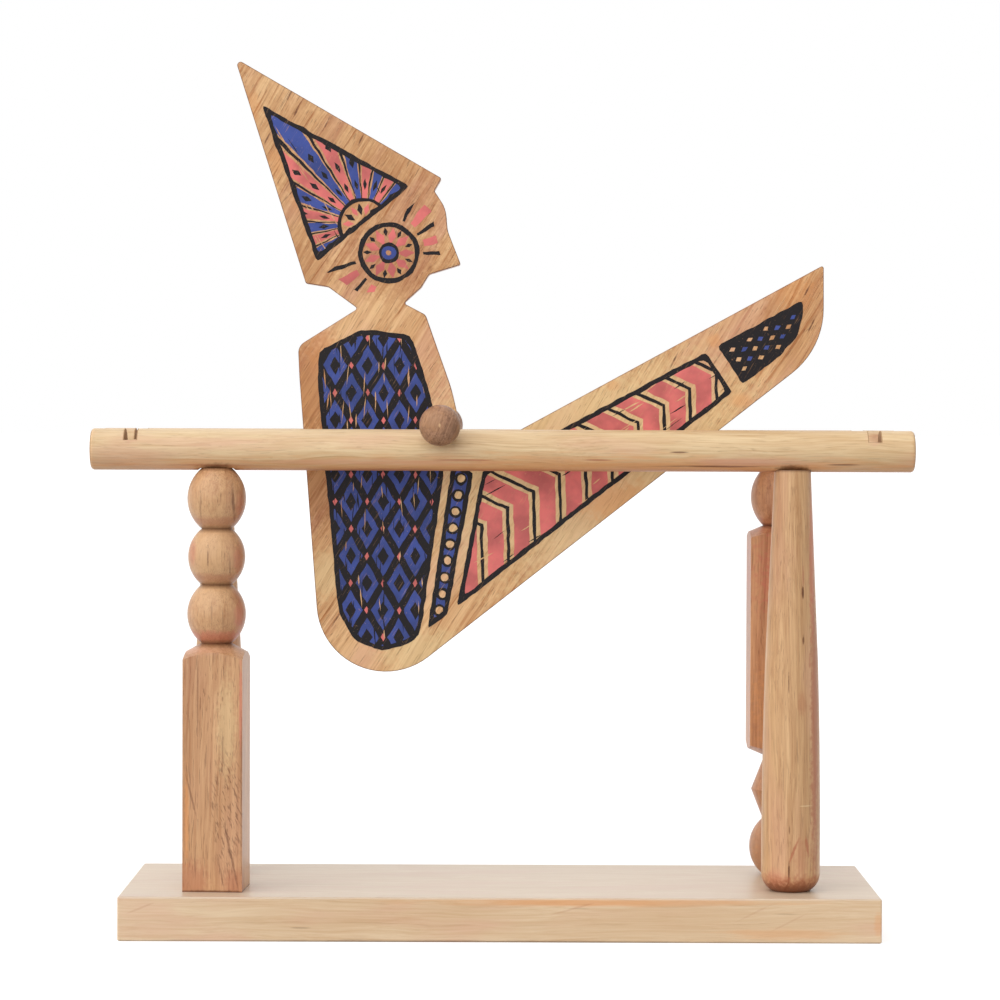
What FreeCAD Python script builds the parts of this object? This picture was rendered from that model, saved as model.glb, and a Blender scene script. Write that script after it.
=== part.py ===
import FreeCAD, Part
import math
import os

# Wooden acrobat toy: a flat figure on a thin axle that rolls along two parallel bars.
# Millimetres, +Z up, front towards -Y, origin under the middle of the base board.

# Base board
base_length = 300.0
base_depth = 100.0
base_thickness = 17.5
base_edge_radius = 0.8
base_underside_chamfer = 0.5

# Bars
bar_length = 327.4
bar_diameter = 16.5
bar_spacing = 50.0
bar_stagger = 0.6
bar_end_radius = 1.4
seat_depth = 0.8
seat_clearance = 0.35
notch_width = 5.0
notch_depth = 4.6
notch_inset = 16.1

# Posts, each at its own place along the base
post_height = 167.8
front_left_post_x = -113.2
front_right_post_x = 116.1
back_left_post_x = -116.5
back_right_post_x = 114.9

# Post turned with three beads over a square block
block_width = 23.8
block_turn = -3.2
top_bead_height = 24.1
middle_bead_height = 22.3
low_bead_height = 23.3
bead_diameter = 23.3
middle_bead_diameter = 22.7
bead_neck_diameter = 12.0
shoulder_drop = 3.2
shoulder_corner_drop = 6.6
blank_margin = 1.0

# Posts turned as tapered clubs, the back left one slimmer above its waist
club_top_diameter = 14.5
club_waist_diameter = 21.0
slim_club_top_diameter = 10.0
slim_club_waist_diameter = 18.5
club_waist_height = 92.0
club_bulge_diameter = 22.8
club_bulge_height = 53.8
club_foot_diameter = 23.4
club_foot_height = 7.2
club_bottom_diameter = 14.8

# Post turned with a ball, a square column, a cone pair and a lower ball
column_width = 24.8
upper_ball_height = 23.6
column_height = 94.7
collar_height = 2.1
cone_pair_height = 24.4
cone_pair_diameter = 21.9
collar_diameter = 12.4
ball_neck_diameter = 13.2
column_shoulder_drop = 2.5

# Screws that hold the posts on the base
screw_length = 45.0
screw_diameter = 4.0
screw_head_diameter = 8.0
screw_head_height = 2.4
screw_tip_length = 5.0
screw_recess = 0.5
screw_clearance = 0.1
drive_slot_width = 1.0
drive_slot_depth = 1.2
drive_slot_length = 4.6

# Dowels that hold the bars on the posts
dowel_diameter = 5.0
dowel_depth_in_post = 10.0
dowel_depth_in_bar = 7.0
dowel_end_gap = 0.5
dowel_clearance = 0.05

# Axle with its end balls
axle_diameter = 3.2
axle_x = -24.15
rolling_clearance = 0.05
ball_diameter = 16.3
ball_side_clearance = 1.5
axle_depth_in_ball = 11.0
bore_end_gap = 0.5
running_clearance = 0.05

# Acrobat board, with its outline measured from the axle
board_thickness = 8.0
board_edge_radius = 0.4

hat_tip = (-83.9, 147.9)
brim_back = (-55.0, 57.1)
nape_top = (-46.0, 55.7)
neck_back = (-34.0, 47.0)
shoulder = (-58.1, 31.8)
waist_back = (-57.5, 19.0)
seat_corner = (-46.3, -126.3)
heel = (154.4, 31.5)
toe = (154.2, 65.2)
lap = (10.6, -13.4)
chest = (3.9, 15.0)
collar_front = (-6.6, 44.6)
neck_front = (-15.4, 49.2)
chin = (-8.4, 55.6)
lip = (-5.2, 60.9)
nose = (7.6, 64.9)
bridge = (2.2, 78.6)
forehead = (1.4, 87.6)
brim_notch = (-3.2, 94.6)
brim_front = (-0.3, 99.7)

tip_radius = 1.4
fine_radius = 0.8
soft_radius = 2.5
shoulder_radius = 5.0
seat_radius = 28.0
heel_radius = 33.0
curve_radius = 12.0
chest_radius = 60.0

# Sizes worked out from the ones above
bar_radius = bar_diameter / 2
bar_axis_z = base_thickness + post_height - seat_depth + bar_radius
seat_z = base_thickness + post_height
axle_radius = axle_diameter / 2
axle_z = bar_axis_z + bar_radius + rolling_clearance + axle_radius
ball_radius = ball_diameter / 2
ball_rise = axle_z - bar_axis_z
ball_reach = bar_radius + ball_radius + ball_side_clearance
ball_y = bar_spacing / 2 + math.sqrt(ball_reach**2 - ball_rise**2)
axle_length = 2 * (ball_y - ball_radius + axle_depth_in_ball)

post_places = {
    "front_left": (front_left_post_x, -bar_spacing / 2),
    "front_right": (front_right_post_x, -bar_spacing / 2),
    "back_left": (back_left_post_x, bar_spacing / 2),
    "back_right": (back_right_post_x, bar_spacing / 2),
}
seat_diameters = {name: club_top_diameter + 2 * seat_clearance for name in post_places}
seat_diameters["back_left"] = slim_club_top_diameter + 2 * seat_clearance

up = FreeCAD.Vector(0, 0, 1)
right = FreeCAD.Vector(1, 0, 0)
back = FreeCAD.Vector(0, 1, 0)


def in_front_plane(point):
    """A point (x, z) of the XZ plane as a vector."""
    return FreeCAD.Vector(point[0], 0, point[1])


def path(start, stops):
    """Edges from start through stops: a stop is a point, or a pair of points for an arc."""
    edges = []
    here = in_front_plane(start)
    for stop in stops:
        if isinstance(stop[0], tuple):
            middle, end = (in_front_plane(point) for point in stop)
            edges.append(Part.Arc(here, middle, end).toShape())
        else:
            end = in_front_plane(stop)
            edges.append(Part.LineSegment(here, end).toShape())
        here = end
    return edges


def turned(start, stops):
    """A solid turned about the Z axis from a half outline of (radius, height) stops."""
    outline = Part.Wire(path(start, stops + [start]))
    return Part.Face(outline).revolve(FreeCAD.Vector(0, 0, 0), up, 360)


def rod(diameter, length, foot, direction):
    """A plain round rod from foot along direction."""
    return Part.makeCylinder(diameter / 2, length, foot, direction)


def corner_arc(before, corner, after, radius):
    """The start, middle and end of the rounding at a corner, kept within its two sides."""
    to_before = FreeCAD.Vector(before[0] - corner[0], before[1] - corner[1], 0)
    to_after = FreeCAD.Vector(after[0] - corner[0], after[1] - corner[1], 0)
    half_angle = to_before.getAngle(to_after) / 2
    room = 0.49 * min(to_before.Length, to_after.Length)
    reach = min(radius / math.tan(half_angle), room)
    real_radius = reach * math.tan(half_angle)
    to_before.normalize()
    to_after.normalize()
    inward = to_before + to_after
    inward.normalize()
    depth = real_radius / math.sin(half_angle) - real_radius
    start = (corner[0] + reach * to_before.x, corner[1] + reach * to_before.y)
    middle = (corner[0] + depth * inward.x, corner[1] + depth * inward.y)
    end = (corner[0] + reach * to_after.x, corner[1] + reach * to_after.y)
    return start, middle, end


def rounded_outline(corners):
    """A closed wire through (corner, radius) pairs, with every corner rounded."""
    arcs = []
    for index, (corner, radius) in enumerate(corners):
        before = corners[index - 1][0]
        after = corners[(index + 1) % len(corners)][0]
        arcs.append(corner_arc(before, corner, after, radius))
    stops = []
    for start, middle, end in arcs:
        stops.append(start)
        stops.append((middle, end))
    return Part.Wire(path(arcs[-1][2], stops))


def bead(bottom, height, diameter, neck_diameter):
    """A turned bead between two necks."""
    top = bottom + height
    neck = neck_diameter / 2
    belly = (diameter / 2, bottom + height / 2)
    return turned((0, bottom), [(neck, bottom), (belly, (neck, top)), (0, top)])


def blank_radius(width):
    """The radius of a turning that clears the corners of a square bar."""
    return width / math.sqrt(2) + blank_margin


def squared(width, bottom, top, lathe_solid):
    """A square bar from bottom to top, cut by the lathe where the turned solid is smaller."""
    bar = Part.makeBox(width, width, top - bottom, FreeCAD.Vector(-width / 2, -width / 2, bottom))
    return bar.common(lathe_solid)


def joined(solids):
    """One solid from solids that meet."""
    return solids[0].fuse(solids[1:]).removeSplitter()


def beaded_post():
    """Three beads over a square block with a domed shoulder, set slightly turned."""
    block_top = post_height - top_bead_height - middle_bead_height - low_bead_height
    low_bead_bottom = block_top
    middle_bead_bottom = low_bead_bottom + low_bead_height
    top_bead_bottom = middle_bead_bottom + middle_bead_height
    neck = bead_neck_diameter / 2
    outer = blank_radius(block_width)
    dome_foot = (outer, block_top - shoulder_corner_drop)
    dome_middle = (block_width / 2, block_top - shoulder_drop)
    dome = turned(
        (0, 0),
        [(outer, 0), dome_foot, (dome_middle, (neck, block_top)), (0, block_top)],
    )
    block = squared(block_width, 0, block_top, dome)
    block.rotate(FreeCAD.Vector(0, 0, 0), up, block_turn)
    beads = [
        bead(low_bead_bottom, low_bead_height, bead_diameter, bead_neck_diameter),
        bead(middle_bead_bottom, middle_bead_height, middle_bead_diameter, bead_neck_diameter),
        bead(top_bead_bottom, top_bead_height, bead_diameter, bead_neck_diameter),
    ]
    return joined([block] + beads)


def club_post(waist_diameter, top_diameter):
    """A plain taper that swells towards a rounded foot."""
    foot = club_foot_diameter / 2
    bottom = club_bottom_diameter / 2
    inset = foot - bottom
    rounding = (inset**2 + club_foot_height**2) / (2 * inset)
    half_turn = math.asin(club_foot_height / rounding) / 2
    foot_rounding = (
        foot - rounding + rounding * math.cos(half_turn),
        club_foot_height - rounding * math.sin(half_turn),
    )
    bulge = (club_bulge_diameter / 2, club_bulge_height)
    waist = (waist_diameter / 2, club_waist_height)
    return turned(
        (0, 0),
        [
            (bottom, 0),
            (foot_rounding, (foot, club_foot_height)),
            (bulge, waist),
            (top_diameter / 2, post_height),
            (0, post_height),
        ],
    )


def column_post():
    """A ball, a square column, two cones foot to foot and a lower ball."""
    upper_ball_bottom = post_height - upper_ball_height
    column_bottom = upper_ball_bottom - column_height
    cones_top = column_bottom - collar_height
    cones_bottom = cones_top - cone_pair_height
    cones_middle = (cones_top + cones_bottom) / 2
    neck = ball_neck_diameter / 2
    collar = collar_diameter / 2
    outer = blank_radius(column_width)
    slope = column_shoulder_drop / (column_width / 2 - neck)
    corner_drop = slope * (outer - neck)
    lathe_solid = turned(
        (0, column_bottom),
        [
            (neck, column_bottom),
            (outer, column_bottom + corner_drop),
            (outer, upper_ball_bottom - corner_drop),
            (neck, upper_ball_bottom),
            (0, upper_ball_bottom),
        ],
    )
    column = squared(column_width, column_bottom, upper_ball_bottom, lathe_solid)
    lower_turning = turned(
        (0, cones_bottom),
        [
            (collar, cones_bottom),
            (cone_pair_diameter / 2, cones_middle),
            (collar, cones_top),
            (collar, column_bottom),
            (0, column_bottom),
        ],
    )
    upper_ball = bead(upper_ball_bottom, upper_ball_height, bead_diameter, ball_neck_diameter)
    lower_ball = bead(0, cones_bottom, bead_diameter, collar_diameter)
    return joined([column, lower_turning, upper_ball, lower_ball])


def drilled_post(post):
    """A post with the holes for its screw and its dowel."""
    origin = FreeCAD.Vector(0, 0, 0)
    screw_hole_depth = screw_recess + screw_length - base_thickness + dowel_end_gap
    screw_hole = rod(screw_diameter + 2 * screw_clearance, screw_hole_depth, origin, up)
    dowel_foot = FreeCAD.Vector(0, 0, post_height - dowel_depth_in_post - dowel_end_gap)
    dowel_hole_depth = dowel_depth_in_post + dowel_end_gap
    dowel_hole = rod(dowel_diameter + 2 * dowel_clearance, dowel_hole_depth, dowel_foot, up)
    return post.cut([screw_hole, dowel_hole])


def base_board():
    """The board, rounded above, chamfered below, with a countersunk hole under each post."""
    corner = FreeCAD.Vector(-base_length / 2, -base_depth / 2, 0)
    board = Part.makeBox(base_length, base_depth, base_thickness, corner)
    above = [edge for edge in board.Edges if edge.CenterOfMass.z > base_thickness / 4]
    board = board.makeFillet(base_edge_radius, above)
    below = [edge for edge in board.Edges if edge.BoundBox.ZMax < base_thickness / 4]
    board = board.makeChamfer(base_underside_chamfer, below)
    hole_radius = screw_diameter / 2 + screw_clearance
    sink_radius = screw_head_diameter / 2 + screw_clearance
    sink_top = screw_recess + screw_head_height
    hole = turned(
        (0, 0),
        [
            (sink_radius, 0),
            (sink_radius, screw_recess),
            (hole_radius, sink_top),
            (hole_radius, base_thickness),
            (0, base_thickness),
        ],
    )
    return board.cut([placed(hole, name, 0) for name in post_places])


def post_screw():
    """A countersunk wood screw, head down, as it stands under a post."""
    radius = screw_diameter / 2
    head = screw_head_diameter / 2
    straight = screw_length - screw_tip_length
    body = turned(
        (0, 0),
        [(head, 0), (radius, screw_head_height), (radius, straight), (0, screw_length)],
    )
    half = drive_slot_length / 2
    edge = drive_slot_width / 2
    slot = Part.makeBox(2 * half, 2 * edge, drive_slot_depth, FreeCAD.Vector(-half, -edge, 0))
    cross_slot = Part.makeBox(2 * edge, 2 * half, drive_slot_depth, FreeCAD.Vector(-edge, -half, 0))
    return body.cut([slot, cross_slot])


def bar(side):
    """A round bar with two notches on top and a flat seat over each post.

    Side is -1 for the front bar, which sits a little to the right, and 1 for the rear bar.
    """
    middle_x = -side * bar_stagger
    y = side * bar_spacing / 2
    start = FreeCAD.Vector(middle_x - bar_length / 2, y, bar_axis_z)
    solid = rod(bar_diameter, bar_length, start, right)
    ends = [edge for edge in solid.Edges if edge.Closed and abs(edge.CenterOfMass.x) > bar_length / 3]
    solid = solid.makeFillet(bar_end_radius, ends)
    cuts = []
    for end in (-1, 1):
        notch_x = middle_x + end * (bar_length / 2 - notch_inset)
        notch_corner = FreeCAD.Vector(
            notch_x - notch_width / 2, y - bar_diameter, bar_axis_z + bar_radius - notch_depth
        )
        cuts.append(Part.makeBox(notch_width, 2 * bar_diameter, bar_diameter, notch_corner))
    for name, (post_x, post_y) in post_places.items():
        if post_y != y:
            continue
        seat_foot = FreeCAD.Vector(post_x, y, seat_z - bar_diameter)
        cuts.append(rod(seat_diameters[name], bar_diameter, seat_foot, up))
        hole_foot = FreeCAD.Vector(post_x, y, seat_z)
        hole_depth = dowel_depth_in_bar + dowel_end_gap
        cuts.append(rod(dowel_diameter + 2 * dowel_clearance, hole_depth, hole_foot, up))
    return solid.cut(cuts)


def bar_dowel():
    """The dowel between a post and its bar, measured from the seat."""
    foot = FreeCAD.Vector(0, 0, -dowel_depth_in_post)
    return rod(dowel_diameter, dowel_depth_in_post + dowel_depth_in_bar, foot, up)


def axle():
    """The thin axle that lies across both bars."""
    start = FreeCAD.Vector(axle_x, -axle_length / 2, axle_z)
    return rod(axle_diameter, axle_length, start, back)


def end_ball(side):
    """A ball with a blind bore for the axle; side is -1 for the front."""
    centre = FreeCAD.Vector(axle_x, side * ball_y, axle_z)
    ball = Part.makeSphere(ball_radius, centre)
    bore_start = FreeCAD.Vector(axle_x, 0, axle_z)
    bore_length = axle_length / 2 + bore_end_gap
    bore = rod(axle_diameter + 2 * running_clearance, bore_length, bore_start, back * side)
    return ball.cut(bore)


def acrobat():
    """The flat board sawn to the acrobat's outline, bored for the axle."""
    corners = [
        (hat_tip, tip_radius),
        (brim_back, fine_radius),
        (nape_top, soft_radius),
        (neck_back, fine_radius),
        (shoulder, shoulder_radius),
        (waist_back, curve_radius),
        (seat_corner, seat_radius),
        (heel, heel_radius),
        (toe, fine_radius),
        (lap, soft_radius),
        (chest, chest_radius),
        (collar_front, soft_radius),
        (neck_front, fine_radius),
        (chin, soft_radius),
        (lip, soft_radius),
        (nose, fine_radius),
        (bridge, curve_radius),
        (forehead, curve_radius),
        (brim_notch, fine_radius),
        (brim_front, fine_radius),
    ]
    board = Part.Face(rounded_outline(corners)).extrude(back * board_thickness)
    board.translate(FreeCAD.Vector(axle_x, -board_thickness / 2, axle_z))
    rims = [edge for edge in board.Edges if abs(abs(edge.CenterOfMass.y) - board_thickness / 2) < 0.01]
    board = board.makeFillet(board_edge_radius, rims)
    bore_start = FreeCAD.Vector(axle_x, -board_thickness, axle_z)
    bore = rod(axle_diameter + 2 * running_clearance, 2 * board_thickness, bore_start, back)
    return board.cut(bore)


def placed(solid, post_name, height):
    """A copy of a solid on a post's axis, at a height over the floor."""
    x, y = post_places[post_name]
    return solid.translated(FreeCAD.Vector(x, y, height))


def toy():
    """Every node with its solid."""
    posts = {
        "front_left": beaded_post(),
        "front_right": club_post(club_waist_diameter, club_top_diameter),
        "back_left": club_post(slim_club_waist_diameter, slim_club_top_diameter),
        "back_right": column_post(),
    }
    nodes = {"base_board": base_board()}
    for name, post in posts.items():
        nodes["post_" + name] = placed(drilled_post(post), name, base_thickness)
        nodes["screw_" + name] = placed(post_screw(), name, screw_recess)
        nodes["dowel_" + name] = placed(bar_dowel(), name, seat_z)
    nodes["bar_front"] = bar(-1)
    nodes["bar_rear"] = bar(1)
    nodes["axle_rod"] = axle()
    nodes["ball_front"] = end_ball(-1)
    nodes["ball_rear"] = end_ball(1)
    nodes["acrobat_board"] = acrobat()
    return nodes


def main():
    """Writes each node as one solid."""
    os.makedirs("parts", exist_ok=True)
    for name, shape in toy().items():
        solid = shape.Solids[0]
        print(name, "solids", len(shape.Solids), "valid", solid.isValid(), "volume", round(solid.Volume, 1))
        solid.exportStep("parts/" + name + ".step")


main()
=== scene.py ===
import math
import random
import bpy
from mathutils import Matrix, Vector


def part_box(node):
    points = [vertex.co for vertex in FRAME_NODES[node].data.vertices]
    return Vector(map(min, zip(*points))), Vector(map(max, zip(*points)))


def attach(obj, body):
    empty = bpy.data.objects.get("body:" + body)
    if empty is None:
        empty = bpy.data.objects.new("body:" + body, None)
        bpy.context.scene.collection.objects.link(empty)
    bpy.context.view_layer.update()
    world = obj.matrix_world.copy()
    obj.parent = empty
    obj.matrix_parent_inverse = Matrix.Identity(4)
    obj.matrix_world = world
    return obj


bl_info = {
    "name": "Rolling Acrobat Toy",
    "version": (1, 0, 0),
    "blender": (4, 5, 0),
    "location": "View3D > Sidebar > Acrobat Toy",
    "description": "Finishes, printed ornament and stage for a wooden acrobat on parallel bars",
    "category": "Object",
}

import bmesh
import bpy
from bpy.props import FloatProperty, FloatVectorProperty, IntProperty, PointerProperty
from bpy.types import Operator, Panel, PropertyGroup
from mathutils import Matrix, Vector, geometry, noise

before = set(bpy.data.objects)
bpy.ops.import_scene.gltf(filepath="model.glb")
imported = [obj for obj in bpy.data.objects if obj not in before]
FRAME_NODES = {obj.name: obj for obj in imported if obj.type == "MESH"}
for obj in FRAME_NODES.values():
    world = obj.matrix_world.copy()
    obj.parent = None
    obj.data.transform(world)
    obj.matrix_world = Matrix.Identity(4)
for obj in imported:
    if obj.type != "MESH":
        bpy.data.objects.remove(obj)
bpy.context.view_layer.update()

MM = 0.001
AXLE_CENTRE = sum(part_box("axle_rod"), Vector()) / 2
BOARD_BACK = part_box("acrobat_board")[1].y


def box_of(node):
    """The low and the high corner of a CAD node, in millimetres."""
    return [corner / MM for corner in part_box(node)]


def foot_of(node):
    """The lowest point of a post's axis, in millimetres."""
    low, high = box_of(node)
    return Vector(((low.x + high.x) / 2, (low.y + high.y) / 2, low.z))


# Settings


def linear(red, green, blue):
    """A colour given as three values from 0 to 255, as Blender's linear colour."""

    def channel(value):
        share = value / 255
        return share / 12.92 if share <= 0.04045 else ((share + 0.055) / 1.055) ** 2.4

    return tuple(channel(value) for value in (red, green, blue))


def tint(name, description, default):
    """A colour setting."""
    return FloatVectorProperty(
        name=name, description=description, subtype="COLOR", size=3, min=0, max=1, default=default
    )


def coordinate(name, description, millimetres, **limits):
    """A coordinate setting, given in millimetres."""
    return FloatProperty(
        name=name, description=description, unit="LENGTH", precision=5, default=millimetres * MM, **limits
    )


def length(name, description, millimetres):
    """A length setting, given in millimetres."""
    return coordinate(name, description, millimetres, min=0)


def turn(name, description, degrees):
    """An angle setting, given in degrees."""
    return FloatProperty(name=name, description=description, unit="ROTATION", default=math.radians(degrees))


def light(name, description, strength):
    """The strength of a light."""
    return FloatProperty(name=name, description=description, default=strength)


class WoodSettings(PropertyGroup):
    base_pale: tint("Base, pale", "Early wood of the base board", linear(228, 203, 169))
    base_dark: tint("Base, dark", "Late wood of the base board", linear(204, 168, 128))
    # Painted sheen: the greyer top of the base stands in for the white that its satin top reflects
    worn: tint("Base, top", "Greyer wood on the worn top of the base board", linear(190, 184, 174))
    bar_pale: tint("Bars, pale", "Early wood of the two bars", linear(225, 198, 156))
    bar_dark: tint("Bars, dark", "Late wood of the two bars", linear(192, 152, 106))
    block_pale: tint("Beaded post, pale", "Early wood of the beaded post", linear(216, 170, 125))
    block_dark: tint("Beaded post, dark", "Late wood of the beaded post", linear(164, 110, 70))
    club_pale: tint("Club posts, pale", "Early wood of the tapered posts", linear(219, 179, 133))
    club_dark: tint("Club posts, dark", "Late wood of the tapered posts", linear(172, 125, 83))
    column_pale: tint("Column post, pale", "Early wood of the column post", linear(208, 152, 108))
    column_dark: tint("Column post, dark", "Late wood of the column post", linear(160, 98, 62))
    board_pale: tint("Figure, pale", "Early wood of the acrobat board", linear(231, 188, 137))
    board_dark: tint("Figure, dark", "Late wood of the acrobat board", linear(180, 120, 70))
    ball_pale: tint("Balls, pale", "Early wood of the end balls", linear(174, 130, 98))
    ball_dark: tint("Balls, dark", "Late wood of the end balls", linear(104, 70, 48))
    blush: tint("Blush", "Rosy patches in the wood", linear(214, 160, 136))
    stain: tint("Stain", "Multiplies the wood where it is darker and warmer", (0.66, 0.5, 0.38))
    straw: tint("Straw", "Yellower patches in the wood", linear(231, 207, 154))
    # Rose, Amber, Heartwood and Pores also serve as painted shade at the marks that say so
    rose: tint("Rose", "Pink-red wood on the posts", linear(198, 108, 88))
    amber: tint("Amber", "Orange streaks in the wood", linear(222, 152, 92))
    # Painted sheen: a paler colour along the tops of the bars in place of the light they reflect
    crown: tint("Crown", "Paler wood along the top of the bars", linear(234, 212, 184))
    heart: tint("Heartwood", "Red-brown streaks in the wood", linear(172, 102, 72))
    pore: tint("Pores", "Open pores and dark flecks in the wood", linear(98, 54, 28))
    burn: tint("Saw marks", "Wood darkened by the saw in notches and at bar ends", linear(163, 128, 93))
    steel: tint("Screws", "Zinc-plated steel of the screws", linear(176, 176, 172))


class PrintSettings(PropertyGroup):
    black: tint("Black ink", "Ink of the outlines and dark fields", linear(23, 18, 21))
    blue: tint("Blue ink", "Ink of the blue fields", linear(62, 77, 143))
    coral: tint("Coral ink", "Ink of the coral fields", linear(212, 112, 108))
    line: length("Contour line", "Width of the line round each panel", 1.9)
    film: length("Ink film", "Thickness of the printed ink", 0.05)
    wobble: length("Wobble", "How far a printed edge strays", 0.42)
    lozenge_width: length("Lozenge width", "Width of a lozenge on the body", 13.0)
    lozenge_height: length("Lozenge height", "Height of a lozenge on the body", 22.0)
    seed: IntProperty(name="Seed", description="Picks the cut strokes and the wobble", min=1, default=7)


class StageSettings(PropertyGroup):
    camera_x: coordinate("Camera X", "Camera position to the right of the middle", -0.4)
    camera_back: length("Camera distance", "Camera position in front of the middle", 1371.7)
    camera_height: length("Camera height", "Camera position over the floor", 205.4)
    camera_tilt: turn("Camera tilt", "Downward tilt of the camera", 1.379)
    camera_roll: turn("Camera roll", "Turn of the camera about its view", 0.199)
    lens: FloatProperty(name="Lens", description="Focal length in millimetres", min=10, default=121.75)
    floor: tint("Floor", "Colour of the floor", linear(240, 240, 240))
    floor_bounce: light("Floor bounce", "Share of the floor's colour that lights the toy", 0.56)
    floor_shade: light("Floor shade", "Share of the floor's colour that shows the shadow", 0.5)
    floor_glow: light("Floor glow", "Light added where the floor is seen", 0.66)
    ambient: light("Ambient", "Strength of the surrounding light", 0.52)
    overhead: light("Overhead", "Light added from above", 0.12)
    backdrop: light("Backdrop", "Light added from behind the toy", 0.9)
    key: light("Key light", "Strength of the key lamp", 2.3)


class ToySettings(PropertyGroup):
    wood: PointerProperty(type=WoodSettings)
    print: PointerProperty(type=PrintSettings)
    stage: PointerProperty(type=StageSettings)


# Shader building


class Flow:
    """A number, vector or colour on its way through a shader; sums with it make the nodes for them."""

    def __init__(self, socket):
        self.socket = socket
        self.tree = socket.id_data
        self.wide = socket.type in ("VECTOR", "RGBA")  # three numbers at a time

    def reckon(self, operation, *values):
        """The result of a Math node or, for a vector or a colour, of a Vector Math node."""
        kind = "VectorMath" if self.wide else "Math"
        return result(self.tree, kind, *values, operation=operation)

    def __add__(self, other):
        return self.reckon("ADD", self, other)

    def __sub__(self, other):
        return self.reckon("SUBTRACT", self, other)

    def __rsub__(self, other):
        return self.reckon("SUBTRACT", other, self)

    def __mul__(self, other):
        """A product; a single number scales all of a vector or a colour."""
        if self.wide and not (isinstance(other, tuple) or getattr(other, "wide", False)):
            return self.reckon("SCALE", self, None, None, other)
        return self.reckon("MULTIPLY", self, other)

    def __truediv__(self, other):
        return self.reckon("DIVIDE", self, other)

    def __pow__(self, other):
        return self.reckon("POWER", self, other)

    def __lt__(self, other):
        return self.reckon("LESS_THAN", self, other)

    def __abs__(self):
        return self.reckon("ABSOLUTE", self)


def put(tree, kind, *inputs, **settings):
    """Adds a shader node; each input is a flow to link, a value to set, or None to leave."""
    made = tree.nodes.new("ShaderNode" + kind)
    for name, value in settings.items():
        setattr(made, name, value)
    for socket, value in zip(made.inputs, inputs):
        fill(socket, value)
    return made


def result(tree, kind, *inputs, **settings):
    """The first output of a new shader node."""
    return Flow(put(tree, kind, *inputs, **settings).outputs[0])


def fill(socket, value):
    """Links a socket to a flow, or sets its value; a colour may leave out its alpha."""
    if isinstance(value, Flow):
        socket.id_data.links.new(value.socket, socket)
    elif value is not None:
        socket.default_value = (*value[:3], 1) if socket.type == "RGBA" else value


def fill_named(node, **values):
    """Fills a node's inputs by name, with underscores for spaces."""
    for label, value in values.items():
        fill(node.inputs[label.replace("_", " ")], value)


def parts(vector):
    """The X, Y and Z of a vector."""
    return [Flow(output) for output in put(vector.tree, "SeparateXYZ", vector).outputs]


def span(vector):
    """The length of a vector."""
    return Flow(put(vector.tree, "VectorMath", vector, operation="LENGTH").outputs["Value"])


def reach_along(vector, direction):
    """How far a vector goes in a direction."""
    return Flow(put(vector.tree, "VectorMath", vector, direction, operation="DOT_PRODUCT").outputs["Value"])


def larger(first, second):
    """The larger of a number on its way and another number."""
    return first.reckon("MAXIMUM", first, second)


def held(number):
    """A number kept between zero and one by the Math node that it comes from."""
    number.socket.node.use_clamp = True
    return number


def blended(share, first, second):
    """A colour between two others."""
    made = put(share.tree, "Mix", data_type="RGBA", clamp_factor=True)
    for index, value in ((0, share), (6, first), (7, second)):
        fill(made.inputs[index], value)
    return Flow(made.outputs[2])


def clouds(place, detail=2.0, roughness=0.5, output=0):
    """Noise in space, around one half, with features about one unit wide; output 1 is three at once."""
    made = put(place.tree, "TexNoise", place, None, 1.0, detail, roughness)
    return Flow(made.outputs[output])


def along(value, detail=2.0, roughness=0.5):
    """Noise along one number, around one half."""
    return result(value.tree, "TexNoise", None, value, 1.0, detail, roughness, noise_dimensions="1D")


def spread(value, low, high, to_low=0.0, to_high=1.0):
    """A smooth Map Range node."""
    return result(value.tree, "MapRange", value, low, high, to_low, to_high, interpolation_type="SMOOTHSTEP")


def swing(value, amount):
    """A value around one half, turned into a change around zero."""
    return (value - 0.5) * amount


def new_group(name, vectors, colours, **defaults):
    """An empty shader node group's inputs as flows by name; a default makes a number or vector input."""
    group = bpy.data.node_groups.new(name, "ShaderNodeTree")
    kinds = {**dict.fromkeys(vectors, "Vector"), **dict.fromkeys(colours, "Color")}
    for label, default in defaults.items():
        kinds[label] = "Vector" if isinstance(default, tuple) else "Float"
    for label, kind in kinds.items():
        title = label.replace("_", " ")
        socket = group.interface.new_socket(title, in_out="INPUT", socket_type="NodeSocket" + kind)
        if label in defaults:
            socket.default_value = defaults[label]
    return {output.name: Flow(output) for output in group.nodes.new("NodeGroupInput").outputs if output.name}


def close_group(**results):
    """Gives the group that the results are in its named outputs, and returns it."""
    group = next(iter(results.values())).tree
    for label, flow in results.items():
        kind = "Color" if flow.wide else "Float"
        group.interface.new_socket(label, in_out="OUTPUT", socket_type="NodeSocket" + kind)
    fill_named(group.nodes.new("NodeGroupOutput"), **results)
    return group


def use_group(tree, build, **values):
    """Places a node group, built on its first use, and fills its named inputs."""
    name = build.__name__.replace("_", " ").title()
    made = put(tree, "Group", node_tree=bpy.data.node_groups.get(name) or build(name))
    fill_named(made, **values)
    return {output.name: Flow(output) for output in made.outputs}


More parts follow.
